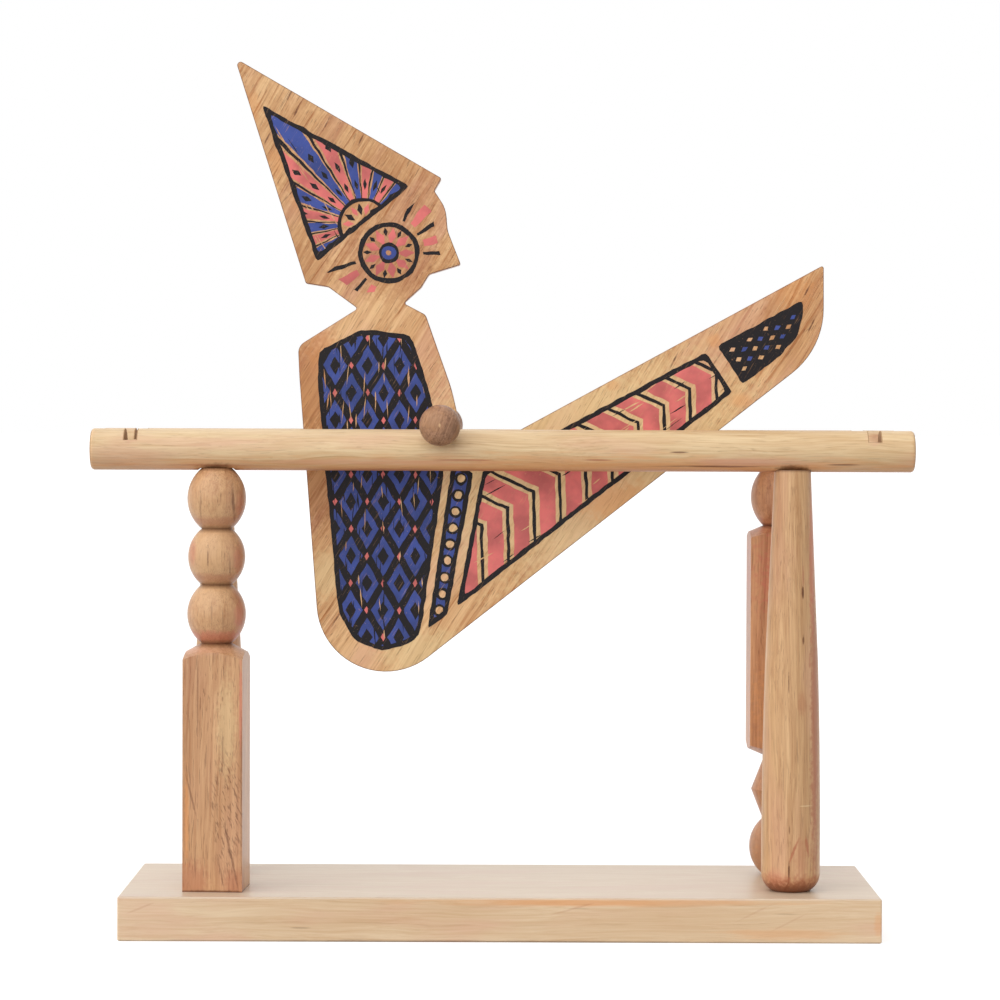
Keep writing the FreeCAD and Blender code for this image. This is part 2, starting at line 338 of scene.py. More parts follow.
def grained_wood(name):
    """Solid wood whose grain runs along X: growth rings, fibres, pores and slow colour changes."""
    take = new_group(
        name,
        ["Place"],
        ["Pale", "Dark", "Blush", "Pore"],
        Ring_Width=3.0,
        Ring_Contrast=0.6,
        Line_Contrast=0.6,
        Fibre_Contrast=0.5,
        Pore_Amount=0.5,
        Blush_Amount=0.3,
        Warp=4.0,
    )
    place = take["Place"]
    slow = clouds(place * (0.012, 0.05, 0.05), output=1)
    bent = place + (slow - (0.5, 0.5, 0.5)) * take["Warp"]
    phase = span(bent * (0.0, 1.0, 1.0)) / take["Ring Width"]
    band = along(phase, 3.0, 0.6)
    ring_mood = spread(along(phase * 0.73, 1.0), 0.35, 0.7)
    broken = spread(clouds(bent * (0.045, 0.3, 0.3)), 0.4, 0.6)
    late = phase.reckon("FRACT", phase) ** 8.0 * ring_mood * broken
    fibre = clouds(bent * (0.035, 1.5, 1.5), 4.0, 0.62)
    strand = clouds(bent * (0.02, 0.55, 0.55), 2.0, 0.6)
    pores = spread(clouds(bent * (0.11, 3.4, 3.4), 1.0), 0.64, 0.72)
    broad = clouds(place * (0.008, 0.035, 0.035))
    flush = clouds(place * (0.018, 0.09, 0.09), 3.0)

    tone = swing(band, take["Ring Contrast"] * 2.2) + 0.4
    for value, strength in ((fibre, 3.2), (strand, 2.0)):
        tone = tone + swing(value, take["Fibre Contrast"] * strength)
    tone = held(tone + swing(broad, 1.2) + late * take["Line Contrast"])
    colour = blended(tone, take["Pale"], take["Dark"])
    rosy = spread(flush, 0.45, 0.7) * take["Blush Amount"]
    colour = blended(rosy, colour, take["Blush"])
    colour = blended(pores * take["Pore Amount"], colour, take["Pore"])
    pits = pores * held(take["Pore Amount"] * 2.0)
    relief = swing(fibre, 0.6) - pits + late * 0.5
    return close_group(Color=colour, Roughness=spread(fibre, 0.2, 0.8, 0.34, 0.5), Height=relief)


def turned_crease(name):
    """A soft mark at one height, as where a lathe tool burnished a neck; at a post's top and foot it is
    painted shade where the post meets the bar and the base.
    """
    take = new_group(name, ["Where"], [], Level=0.0, Reach=1.5, Before=0.0)
    height = parts(take["Where"])[2]
    mark = held(1.0 - abs(height - take["Level"]) / take["Reach"])
    return close_group(Mask=larger(mark, take["Before"]))


def soft_patch(name):
    """One inside a soft-edged, ragged and perhaps leaning ellipsoid, else zero."""
    take = new_group(name, ["Where", "Centre", "Reach", "Lean", "Fray"], [])
    away = take["Where"] - take["Centre"]
    x, _, z = parts(away)
    swapped = result(x.tree, "CombineXYZ", z, 0.0, x)
    away = (away - swapped * take["Lean"]) / take["Reach"]
    ragged = swing(clouds(take["Where"] * take["Fray"], 3.0), 0.9)
    return close_group(Mask=spread(span(away) + ragged, 0.35, 1.0, 1.0, 0.0))


def patched_wood(name, keep_figure):
    """A group that gives one patch of the wood another colour, over its figure or through it."""
    patch = ["Where", "Centre", "Reach", "Lean"]
    take = new_group(name, patch, ["Wood", "Streak"], Fray=(0.6, 0.6, 0.6), Strength=0.5)
    places = {label: take[label] for label in (*patch, "Fray")}
    mask = use_group(take["Where"].tree, soft_patch, **places)["Mask"]
    streak = take["Wood"] * take["Streak"] if keep_figure else take["Streak"]
    return close_group(Color=blended(mask * take["Strength"], take["Wood"], streak))


def grain_mark(name):
    """A soft-edged streak or patch of one colour at a place in the wood."""
    return patched_wood(name, False)


def stained_wood(name):
    """A soft-edged patch where the wood is darker and warmer, with its figure kept."""
    return patched_wood(name, True)


def saw_cut(name):
    """Wood dark and dull from the saw inside a box, as on the faces of a notch."""
    take = new_group(name, ["Where", "Centre", "Reach"], ["Wood", "Burn"], Shine=1.0)
    x, y, z = parts(abs((take["Where"] - take["Centre"]) / take["Reach"]))
    inside = larger(x, larger(y, z)) < 1.0
    streaks = clouds(take["Where"] * (1.5, 0.4, 3.0), 3.0)
    share = inside * spread(streaks, 0.2, 0.8, 0.65, 1.0)
    colour = blended(share, take["Wood"], take["Burn"])
    return close_group(Color=colour, Shine=take["Shine"] * (1.0 - inside))


def sawn_edge(name):
    """A board's wood, a little darker on its sawn sides and more so on the arris between side and face."""
    take = new_group(name, ["Where"], ["Wood", "Burn", "Rim"])
    normal = Flow(put(take["Where"].tree, "TexCoord").outputs["Normal"])
    facing = abs(parts(normal)[1])
    streaks = clouds(take["Where"] * (0.3, 2.0, 0.3), 3.0)
    share = spread(facing, 0.5, 0.97, 0.5, 0.0) * spread(streaks, 0.2, 0.8, 0.7, 1.3)
    side = blended(share, take["Wood"], take["Burn"])
    arris = spread(facing, 0.1, 0.4) * spread(facing, 0.95, 0.999, 1.0, 0.0)
    worn = arris * spread(streaks, 0.3, 0.7, 0.45, 0.8)
    return close_group(Color=blended(worn, side, take["Rim"]))


def rippled_figure(name):
    """Short slanting ripples in one area, as where the grain waves."""
    take = new_group(name, ["Where", "Centre", "Reach"], ["Wood", "Ripple"])
    down = reach_along(take["Where"], (0.36, 0.0, -0.93)) * 0.24
    across = reach_along(take["Where"], (0.93, 0.0, 0.36)) * 1.15
    strokes = spread(clouds(result(down.tree, "CombineXYZ", down, across), 2.0, 0.6), 0.52, 0.66)
    away = (take["Where"] - take["Centre"]) / take["Reach"]
    area = spread(span(away), 0.4, 1.0, 1.0, 0.0)
    return close_group(Color=blended(strokes * area * 0.6, take["Wood"], take["Ripple"]))


def printed_ink(name):
    """Ink pressed on wood: thin where the fibres stand up, with specks where it missed."""
    take = new_group(name, ["Place"], ["Ink", "Wood"], Dryness=0.4)
    place = take["Place"]
    streak = clouds(place * (0.12, 1.7, 1.7), 4.0, 0.65)
    speck = clouds(place * (1.4, 1.4, 1.4), 2.0, 0.6)
    cloud = clouds(place * (0.09, 0.09, 0.09), 3.0)
    miss = held(spread(streak, 0.58, 0.76) + spread(speck, 0.66, 0.76)) * take["Dryness"]
    ink = take["Ink"] * spread(cloud, 0.3, 0.7, 0.75, 1.2)
    colour = blended(miss, ink, take["Wood"])
    return close_group(Color=colour, Roughness=spread(cloud, 0.2, 0.8, 0.4, 0.62), Height=1.0 - miss)


# Materials


def millimetres(tree):
    """Object coordinates in millimetres."""
    return Flow(put(tree, "TexCoord").outputs["Object"]) * (1 / MM)


def grain_space(tree, direction, pith):
    """Object coordinates in millimetres, with X along the grain and the pith at the origin."""
    spin = Vector(direction).normalized().to_track_quat("X", "Z").to_matrix()
    turned = put(tree, "Mapping", millimetres(tree))
    turned.inputs["Rotation"].default_value = spin.inverted().to_euler()
    return Flow(turned.outputs[0]) + pith


def new_material(name):
    """A material with only a Principled shader; returns it with its tree and shader."""
    material = bpy.data.materials.new(name)
    material.use_nodes = True
    return material, material.node_tree, material.node_tree.nodes["Principled BSDF"]


def bumped(height, distance):
    """The surface normal, tilted by a height."""
    bump = put(height.tree, "Bump")
    fill_named(bump, Distance=distance, Height=height)
    return Flow(bump.outputs[0])


def wood_figure(rings, contrast, fibres, pores, blush, warp, lines=0.6):
    """The figure of a wood: the width of its rings in millimetres, and how strong each part is."""
    return {
        "Ring_Width": rings,
        "Ring_Contrast": contrast,
        "Line_Contrast": lines,
        "Fibre_Contrast": fibres,
        "Pore_Amount": pores,
        "Blush_Amount": blush,
        "Warp": warp,
    }


FIGURES = {
    "base": wood_figure(rings=3.4, contrast=0.4, fibres=0.36, pores=0.06, blush=0.35, warp=9, lines=0.3),
    "block": wood_figure(rings=2.6, contrast=0.26, fibres=0.38, pores=0.45, blush=0.15, warp=6, lines=0.3),
    "club": wood_figure(rings=3.2, contrast=0.3, fibres=0.42, pores=0.3, blush=0.3, warp=6, lines=0.3),
    "column": wood_figure(rings=4.5, contrast=0.6, fibres=0.5, pores=0.4, blush=0.1, warp=5),
    "bar": wood_figure(rings=3.0, contrast=0.4, fibres=0.42, pores=0.2, blush=0.4, warp=10, lines=0.5),
    "dowel": wood_figure(rings=1.6, contrast=0.5, fibres=0.5, pores=0.3, blush=0.1, warp=1),
    "axle": wood_figure(rings=1.4, contrast=0.4, fibres=0.5, pores=0.3, blush=0.1, warp=1),
    "ball": wood_figure(rings=1.7, contrast=0.55, fibres=0.6, pores=0.5, blush=0.15, warp=6),
    "board": wood_figure(rings=3.4, contrast=0.42, fibres=0.5, pores=0.4, blush=0.4, warp=7, lines=1.3),
}


def cut_wood(tree, wood, kind, place, figure=None):
    """Wood in the colours of one kind, with its own figure or another's."""
    return use_group(
        tree,
        grained_wood,
        Place=place,
        Pale=getattr(wood, kind + "_pale"),
        Dark=getattr(wood, kind + "_dark"),
        Blush=wood.blush,
        Pore=wood.pore,
        **FIGURES[figure or kind],
    )


def wood_material(name, wood, kind, direction, pith, touches=(), coat=0.15, creases=(), figure=None):
    """Satin wood grained along a direction, with its single touches and its creases."""
    material, tree, shader = new_material(name)
    cut = cut_wood(tree, wood, kind, grain_space(tree, direction, pith), figure)
    where = millimetres(tree)
    colour, shine, mask = cut["Color"], None, None
    for build, values in touches:
        if build is saw_cut:
            values = {**values, "Shine": shine}
        touched = use_group(tree, build, Where=where, Wood=colour, **values)
        colour, shine = touched["Color"], touched.get("Shine", shine)
    # Each crease darkens the wood towards the pores' colour; at a post's top and foot this is painted shade
    for level, reach in creases:
        mask = use_group(tree, turned_crease, Where=where, Level=level, Reach=reach, Before=mask)["Mask"]
    fill_named(
        shader,
        Base_Color=blended(mask * 0.7, colour, wood.pore) if mask else colour,
        Roughness=larger(cut["Roughness"], 1.0 - shine) if shine else cut["Roughness"],
        Coat_Weight=shine * coat if shine else coat,
        Coat_Roughness=0.32,
        Specular_IOR_Level=0.28,
        Normal=bumped(cut["Height"], 0.12 * MM),
    )
    return material


def mark(wood, colour, centre, reach, strength, lean=(0, 0, 0), **more):
    """A touch of colour in the wood, with its centre and reach in millimetres.

    Lean gives how far it shifts in X for each step up, nothing, and in Z for each step to the right.
    The stain multiplies the wood and keeps its figure; every other colour lies over it.
    """
    values = {"Centre": centre, "Reach": reach, "Lean": lean, "Strength": strength, **more}
    return stained_wood if colour == "stain" else grain_mark, {"Streak": getattr(wood, colour), **values}


def marks(wood, origin, rows, **more):
    """Touches from rows of colour, place from the origin, reach, strength and perhaps lean."""
    touches = []
    for colour, place, *rest in rows:
        centre = [start + step for start, step in zip(origin, place)]
        touches.append(mark(wood, colour, centre, *rest, **more))
    return touches


def paint(node, material):
    """Gives every material slot of a CAD node this material."""
    piece = FRAME_NODES[node]
    if not piece.material_slots:
        piece.data.materials.append(material)
    for slot in piece.material_slots:
        slot.link = "OBJECT"
        slot.material = material


def paint_all(prefix, material):
    """Paints every CAD node whose name starts with the prefix."""
    for name in FRAME_NODES:
        if name.startswith(prefix):
            paint(name, material)


# The stand


# How fast the edge of a mark wanders in each direction, where the grain runs along X
LONG_FRAY = (0.06, 0.8, 0.8)

# From the middle of the base board's lower front edge
BASE_MARKS = (
    ("amber", (40, 0, 15.8), (98, 2.2, 2.2), 0.42),
    ("amber", (34, 0, 15.6), (44, 2, 1.7), 0.35),
    # Painted shadow: a dark line along the lower front edge, where the base meets the floor
    ("pore", (-2, 0, 0), (170, 3, 1.2), 0.45),
    ("base_dark", (85, 0, 6), (85, 3, 12), 0.35),
    ("pore", (31, 0, 13.4), (6, 2, 0.4), 0.2),
    ("pore", (112, 0, 11.5), (6, 2, 0.45), 0.22),
    ("pore", (-78, 0, 5.5), (5, 2, 0.5), 0.3),
    ("amber", (112, 0, 3.6), (32, 2, 2.8), 0.32),
    ("amber", (148.6, 0, 7.5), (2.4, 3, 6.5), 0.35),
    # Painted sheen: the whole top greyed in place of the white it reflects
    ("worn", (0, 50, 17.5), (900, 400, 0.9), 0.4),
    ("heart", (29, 0, 13.4), (11, 2, 0.6), 0.25, (0, 0, 0.28)),
    ("heart", (100, 0, 12), (9, 2, 0.6), 0.17, (0, 0, 0.5)),
    ("heart", (113, 0, 8), (9, 2, 0.6), 0.17, (0, 0, 0.5)),
    ("heart", (-141, 0, 13), (7, 2, 0.6), 0.2, (0, 0, 0.4)),
)


def finish_base(wood):
    """The base board and the screws under it."""
    low, _ = box_of("base_board")
    touches = marks(wood, (0, low.y, low.z), BASE_MARKS, Fray=LONG_FRAY)
    grain = (1, 0.012, 0.004)
    paint("base_board", wood_material("Base board wood", wood, "base", grain, (0, 14, 46), touches, 0.42))
    material, tree, shader = new_material("Zinc-plated steel")
    mottle = clouds(millimetres(tree) * 0.9, 3.0)
    darker = tuple(0.8 * channel for channel in wood.steel)
    fill_named(
        shader,
        Base_Color=blended(mottle, darker, wood.steel),
        Roughness=spread(mottle, 0.3, 0.7, 0.25, 0.42),
        Metallic=1.0,
        Normal=bumped(mottle, 0.02 * MM),
    )
    paint_all("screw_", material)


# Name of the wood, its kind, the direction of the grain, the pith and the coat
POSTS = {
    "post_front_left": ("Beaded post wood", "block", (0.03, 0.02, 1), (0, 30, 134), 0.3),
    "post_front_right": ("Club wood front right", "club", (-0.02, 0.02, 1), (0, 20, -96), 0.12),
    "post_back_left": ("Club wood back left", "club", (-0.02, 0.02, 1), (0, -34, 128), 0.12),
    "post_back_right": ("Column post wood", "column", (0.01, -0.02, 1), (0, 22, -150), 0.3),
}
# Height and reach of the creases in each kind of post, from its foot; the crease at the top and the one at
# the foot are painted shade where the post meets the bar and the base
CREASES = {
    "block": ((167.8, 1.3), (143.7, 1.7), (121.4, 1.7), (98.1, 1.9), (0, 0.9)),
    "club": ((167.8, 1.0), (0, 0.7)),
    "column": ((167.8, 1.0), (144.2, 1.4), (49.5, 1.4), (23.0, 1.4), (0, 0.7)),
}
# From the foot of a post's axis; only the weak rim of its one wide mark reaches the back left post
POST_MARKS = {
    "post_front_left": (
        ("blush", (-3, 0, 95), (16, 16, 3.4), 0.6),
        ("club_pale", (-2, -6, 132.5), (14, 14, 44), 0.5),
        ("straw", (5, -12, 66), (5, 6, 26), 0.3),
        ("heart", (-9, -12, 4), (9, 8, 12), 0.5),
        ("heart", (9, -12, 3), (7, 8, 9), 0.45),
        ("rose", (10.6, -12, 74), (0.9, 5, 24), 0.6),
        ("pore", (10.9, -12, 38), (0.5, 5, 44), 0.4),
        # Painted shade: a dark line round the foot where the post meets the base
        ("pore", (0, -12, 0), (22, 22, 1.1), 0.8),
        ("amber", (-10.8, -12, 30), (1.2, 5, 26), 0.6),
        ("pore", (-6.5, -12, 78), (0.5, 6, 26), 0.4),
        ("pore", (3.4, -12, 55), (0.5, 6, 12), 0.4),
        ("pore", (-9.0, -12, 38), (0.6, 6, 11), 0.5, (-0.25, 0, 0)),
        ("pore", (-7.4, -12, 12), (0.5, 6, 9), 0.35),
        ("pore", (7.0, -12, 14), (0.7, 6, 16), 0.55, (-0.22, 0, 0)),
        ("pore", (3.2, -12, 6), (0.5, 6, 7), 0.4, (-0.2, 0, 0)),
        ("heart", (8.5, 0, 117.5), (3, 12, 8), 0.45),
        ("blush", (9, 0, 107.5), (3.5, 12, 8), 0.6),
        ("pore", (7.2, -6, 154.5), (0.9, 9, 9), 0.6, (-0.06, 0, 0)),
        ("rose", (9.6, -4, 152.5), (2.4, 9, 9), 0.4),
        ("pore", (-5.6, -6, 153.5), (0.6, 9, 9), 0.45),
        ("pore", (-2.6, -6, 132.5), (0.6, 12, 7), 0.55),
        ("rose", (-9.0, -5, 134.5), (2.2, 12, 7), 0.4),
        ("rose", (9.0, -5, 131.5), (2.6, 12, 8), 0.4),
        ("pore", (6.0, -6, 129.5), (0.6, 12, 6), 0.35),
        ("rose", (9.5, -5, 109.5), (2.4, 12, 8), 0.5),
        ("pore", (-1.0, -6, 110.5), (0.6, 12, 7), 0.4),
        ("pore", (3.4, -6, 108.5), (0.5, 12, 6), 0.35),
        # Painted shade: darker bands round the lower part of each bead, above its neck
        ("rose", (0, 0, 101), (24, 24, 3.8), 0.6),
        ("heart", (0, 0, 124.3), (24, 24, 3.0), 0.5),
        ("heart", (0, 0, 146.7), (24, 24, 3.0), 0.5),
    ),
    "post_front_right": (
        # Partly painted shade: the red-brown and rose streaks down the right edge are the wood's colour and
        # also the shade on that side
        ("heart", (8.6, -5, 62.5), (2.8, 9, 80), 0.75),
        ("rose", (7.4, -5, 132.5), (1.6, 9, 40), 0.55),
        ("pore", (3.6, -10, 119.5), (0.6, 14, 3.6), 0.95),
        ("heart", (3.7, -10, 126), (0.6, 14, 6.0), 0.5),
        ("pore", (3.8, -10, 100.8), (0.5, 14, 2.4), 0.8),
        ("pore", (-2.0, -10, 83.8), (0.4, 14, 5), 0.65),
        ("heart", (3.4, -10, 75.5), (2.4, 14, 6), 0.35),
        ("heart", (6.5, -10, 92.5), (0.5, 14, 5), 0.5),
        ("pore", (-4.0, -10, 46.5), (0.4, 14, 9), 0.3),
        ("pore", (1.4, -10, 57.5), (0.4, 14, 7), 0.3),
        ("pore", (-1.5, -10, 25.5), (0.4, 14, 2.2), 0.6),
        ("pore", (-1.6, -10, 9), (0.45, 14, 6.5), 0.95),
        ("pore", (-2.3, -10, 3), (0.5, 14, 3.4), 0.9, (0.35, 0, 0)),
        ("heart", (0.3, -10, 17.2), (0.8, 14, 6.5), 0.75, (0.385, 0, 0)),
        ("heart", (5.6, -10, 19.2), (0.9, 14, 5.4), 0.75, (-0.15, 0, 0)),
        ("heart", (3.0, -10, 14), (3.4, 14, 11), 0.3),
        ("rose", (-6.5, -10, 5), (6.0, 14, 6), 0.3),
        ("bar_pale", (5, -10, 34.9), (3.6, 14, 0.25), 0.8),
        # Painted shade: darker bands round the foot where the post meets the base
        ("heart", (0, 0, 0), (40, 40, 9), 0.8),
        ("pore", (0, 0, 0), (40, 40, 5.6), 0.6),
    ),
    # Painted shade: a darker band round the foot
    "post_back_left": (("heart", (232.6, 0, 0), (260, 20, 6.5), 0.5),),
    "post_back_right": (
        ("rose", (0, 0, 124.5), (20, 20, 30), 0.85),
        ("amber", (0, 0, 70.5), (20, 20, 34), 0.7),
        ("club_pale", (0, 0, 157.5), (14, 14, 11), 0.35),
        ("ball_pale", (0, 0, 10), (24, 24, 16), 0.75),
        ("ball_pale", (0, 0, 34.5), (20, 20, 15), 0.45),
    ),
}
RIPPLE_PLACE = Vector((5.4, -12, 33))
RIPPLE_REACH = (9, 7, 33)


def finish_posts(wood):
    """The beaded post, the two tapered posts and the column post."""
    for node, (name, kind, grain, pith, coat) in POSTS.items():
        foot = foot_of(node)
        touches = marks(wood, foot, POST_MARKS[node])
        if kind == "block":
            centre = foot + RIPPLE_PLACE
            touches.append((rippled_figure, {"Centre": centre, "Reach": RIPPLE_REACH, "Ripple": wood.pore}))
        creases = [(foot.z + height, reach) for height, reach in CREASES[kind]]
        paint(node, wood_material(name, wood, kind, grain, pith, touches, coat, creases))


POSTS_UNDER = {
    "bar_front": ("post_front_left", "post_front_right"),
    "bar_rear": ("post_back_left", "post_back_right"),
}
# From the end of a bar to the middle of its notch
NOTCH_INSET = 16.1
# Half sizes of the boxes that hold the sawn faces of a bar's end and of a notch
RIM_REACH = (0.45, 20, 20)
NOTCH_REACH = (2.85, 12, 4.62)

# From a bar's lowest line, in the middle of the toy
BAR_MARKS = (
    # Partly painted shade: the amber bands are warmer wood and also darken the underside, and the dark line
    # along the lowest line is painted shade
    ("amber", (0, 0, 1.5), (270, 14, 9.0), 0.55),
    ("amber", (60, 0, 2.5), (130, 14, 6.5), 0.35),
    ("heart", (0, 0, 0), (270, 14, 1.4), 0.5),
    # Painted sheen: paler along the top of the bar
    ("crown", (-70, 0, 16.5), (150, 16, 6.5), 0.2),
    ("bar_dark", (95, 0, 16.5), (80, 16, 5.5), 0.16),
)
# From a bar's outer side, as high as its lowest line
BAR_FACE_MARKS = (
    ("pore", (83, 0, 2.2), (30, 7, 0.55), 0.8),
    ("pore", (70.6, 0, 7.8), (4.2, 6, 0.45), 0.75),
    ("pore", (136, 0, 3.0), (9, 6, 0.5), 0.7),
    ("heart", (38, 0, 4.6), (8, 6, 0.5), 0.7),
    ("heart", (-16, 0, 4.4), (17, 6, 0.6), 0.6),
    ("heart", (-112, 0, 2.0), (30, 6, 0.8), 0.6),
    ("blush", (98, 0, 4), (30, 8, 2.4), 0.5),
    ("blush", (-50, 0, 3.4), (60, 8, 1.8), 0.35),
    ("blush", (-120, 0, 11.5), (34, 8, 2.6), 0.3),
)


def finish_bars(wood):
    """The two round bars and the dowels that hold them."""
    for name, pith in (("bar_front", (0, 31, -183)), ("bar_rear", (0, -9, -201))):
        low, high = box_of(name)
        y, z = (low.y + high.y) / 2, (low.z + high.z) / 2
        face = low.y if name == "bar_front" else high.y
        touches = marks(wood, (0, y, low.z), BAR_MARKS, Fray=LONG_FRAY)
        touches += marks(wood, (0, face, low.z), BAR_FACE_MARKS, Fray=LONG_FRAY)
        # Painted shade, with a redder tone: the rear bar darkened where it is seen through the front bar's
        # right notch
        if name == "bar_rear":
            seen = (154, low.y, low.z + 14.5)
            touches.append(mark(wood, "heart", seen, (5, 6, 4), 0.45, Fray=LONG_FRAY))
        # Painted shade: a dark patch on the bar's underside where each post meets it
        for post in POSTS_UNDER[name]:
            touches.append(mark(wood, "pore", (foot_of(post).x, y, low.z + 0.9), (10.5, 16, 2.8), 0.6))
        for end_x, inset in ((low.x, NOTCH_INSET), (high.x, -NOTCH_INSET)):
            notch_x = end_x + inset
            touches += [
                (saw_cut, {"Centre": (end_x, y, high.z), "Reach": RIM_REACH, "Burn": wood.burn}),
                mark(wood, "amber", (end_x, y, z), (3.5, 12, 12), 0.25),
                mark(wood, "blush", (notch_x, y, high.z - 3.5), (5, 14, 4), 0.5),
                (saw_cut, {"Centre": (notch_x, y, high.z), "Reach": NOTCH_REACH, "Burn": wood.burn}),
            ]
        title = name.replace("_", " ").capitalize() + " wood"
        paint(name, wood_material(title, wood, "bar", (1, 0.006, -0.004), pith, touches, 0.1))
    dowel = wood_material("Dowel wood", wood, "bar", (0, 0, 1), (0, 3, 5), figure="dowel")
    paint_all("dowel_", dowel)


# The acrobat


# From the outermost point of an end ball
BALL_MARKS = (
    ("club_dark", (-4, 0, 3), (8, 11, 7), 0.45),
    # Painted shade: darker on the lower right of each ball
    ("ball_dark", (9, 0, -4), (8, 14, 14), 0.4),
    # Painted highlight: a small pale spot in the middle of each ball's outer side
    ("club_pale", (0, 0, 0), (0.6, 2, 1.0), 0.7),
)


def finish_axle(wood):
    """The axle and its two darker end balls."""
    axle = wood_material("Axle wood", wood, "club", (0, 1, 0), (0, 6, -190), figure="axle")
    paint("axle_rod", axle)
    for name, pith in (("ball_front", (0, 30, -205)), ("ball_rear", (0, 12, -214))):
        low, high = box_of(name)
        outermost = low.y if name == "ball_front" else high.y
        touches = marks(wood, (AXLE_CENTRE.x / MM, outermost, AXLE_CENTRE.z / MM), BALL_MARKS)
        title = name.replace("_", " ").capitalize() + " wood"
        paint(name, wood_material(title, wood, "ball", (0.35, 0.1, 0.9), pith, touches))


BOARD_SLOPE = math.radians(58)
BOARD_GRAIN = (math.cos(BOARD_SLOPE), 0.02, math.sin(BOARD_SLOPE))
BOARD_PITH = (0, -70, 38)
# Colour, place in X and Z, reach in X and Z, strength and lean
BOARD_PATCHES = (
    ("straw", 44, 184, 115, 66, 0.5, 0),
    ("stain", 46, 168, 26, 14, 0.3, 0.9),
    ("amber", 48, 172, 22, 12, 0.5, 0),
    ("stain", -70, 310, 52, 38, 0.5, -0.9),
    ("stain", -82, 284, 16, 26, 0.35, 0),
    ("stain", -44, 268, 28, 20, 0.7, 0),
    ("stain", -78, 218, 18, 34, 1.0, 0),
    ("stain", -74, 176, 16, 21, 0.85, 0),
    ("stain", -78, 266, 15, 14, 0.5, 0),
    ("amber", -72, 232, 10, 12, 0.3, 0),
    ("stain", 124, 240, 24, 30, 0.5, 0),
    ("amber", 118, 258, 12, 12, 0.35, 0),
    ("amber", -101, 331, 5, 8, 0.35, 0),
    ("amber", -91, 308, 5, 9, 0.35, 0),
    ("amber", -82, 294, 5, 8, 0.3, 0),
    ("amber", 86, 237, 4, 4, 0.45, 0),
    ("amber", 45, 219, 4, 3, 0.35, 0),
    ("amber", 97, 213, 6, 4, 0.4, 0),
    ("straw", -30, 110, 26, 14, 0.45, 0),
    ("straw", -71, 142, 9, 14, 0.4, 0),
)
# Thin dark lines of the grain: place in X and Z, reach in Z and lean
BOARD_LINES = (
    (-86, 335.3, 3.6, 0.5),
    (-70.7, 324.7, 4.6, 0.5),
    (-57.3, 317.2, 3.4, 0.5),
    (-82.9, 329.4, 4.2, 0.5),
    (-94.8, 318.2, 3.6, 0.5),
    (-84.2, 297.3, 6.5, 0.9),
    (125.2, 243.6, 5.0, 0.5),
    (123.1, 257.0, 4.0, 0.5),
    (69.7, 229.1, 4.8, 0.5),
    (-65.2, 126.1, 8.5, 0.62),
    (-70.3, 215.0, 8.0, 0.6),
)


def finish_board(wood):
    """The flat acrobat board, warmer at its ends and its back, and darker where it was sawn."""
    touches = [
        mark(wood, colour, (x, 0, z), (wide, 30, high), strength, (lean, 0, 0))
        for colour, x, z, wide, high, strength, lean in BOARD_PATCHES
    ]
    touches += [
        mark(wood, "pore", (x, 0, z), (0.6, 9, high), 0.9, (lean, 0, 0)) for x, z, high, lean in BOARD_LINES
    ]
    touches.append((sawn_edge, {"Burn": wood.heart, "Rim": wood.pore}))
    board = wood_material("Acrobat board wood", wood, "board", BOARD_GRAIN, BOARD_PITH, touches)
    paint("acrobat_board", board)


# The printed ornament, with places in millimetres from the axle


def pairs(corners):
    """Each corner of a closed outline with the next one, as vectors."""
    corners = [Vector(corner) for corner in corners]
    return zip(corners, corners[1:] + corners[:1])


def bends(corners):
    """Each corner of a closed outline with the corners before and after it, as vectors."""
    corners = [Vector(corner) for corner in corners]
    return zip(corners[-1:] + corners[:-1], corners, corners[1:] + corners[:1])


def softened(corners, radius):
    """A closed outline with rounded corners, as a hand-cut block has them."""
    out = []
    for before, here, after in bends(corners):
        start = here + (before - here).normalized() * radius
        end = here + (after - here).normalized() * radius
        out += [start, here / 2 + (start + end) / 4, end]
    return out


def shrunk(corners, distance):
    """An anticlockwise outline moved inwards."""
    out = []
    for before, here, after in bends(corners):
        first = (here - before).normalized()
        second = (after - here).normalized()
        inward = Vector((-first.y - second.y, first.x + second.x))
        out.append(here + inward * distance / (1 + first.dot(second)))
    return out


def anticlockwise(corners):
    """An outline as a list of corners that runs anticlockwise."""
    corners = [tuple(corner) for corner in corners]
    area = sum(a[0] * b[1] - b[0] * a[1] for a, b in zip(corners, corners[1:] + corners[:1]))
    return corners if area > 0 else corners[::-1]


def strayed(corners, amount, number, step=1.6):
    """An outline with finely uneven edges, as a hand-cut block leaves them; each number strays anew."""
    out = []
    for first, second in pairs(corners):
        pieces = max(1, round((second - first).length / step))
        for k in range(pieces):
            x, z = first.lerp(second, k / pieces)
            push = noise.noise_vector(Vector((x * 0.24, z * 0.24, 0.7 * number)))
            fine = noise.noise_vector(Vector((x * 1.1, z * 1.1, 0.9 * number)))
            out.append((x + amount * (push.x + 0.45 * fine.x), z + amount * (push.y + 0.45 * fine.y)))
    return out


def disc(centre, radius, points=28):
    """A round shape."""
    x, z = centre
    turns = (2 * math.pi * k / points for k in range(points))
    return [(x + radius * math.cos(t), z + radius * math.sin(t)) for t in turns]


def placed(shape, centre, angle):
    """Points given along and across a direction, laid down at a place."""
    x, z = centre
    c, s = math.cos(angle), math.sin(angle)
    return [(x + u * c - v * s, z + u * s + v * c) for u, v in shape]


def ahead(centre, angle, distance, aside=0):
    """The spot at a distance from a centre in a direction."""
    return placed([(distance, aside)], centre, angle)[0]


def lozenge(centre, long, wide, angle):
    """A diamond whose long axis stands at an angle."""
    return placed([(-long / 2, 0), (0, -wide / 2), (long / 2, 0), (0, wide / 2)], centre, angle)


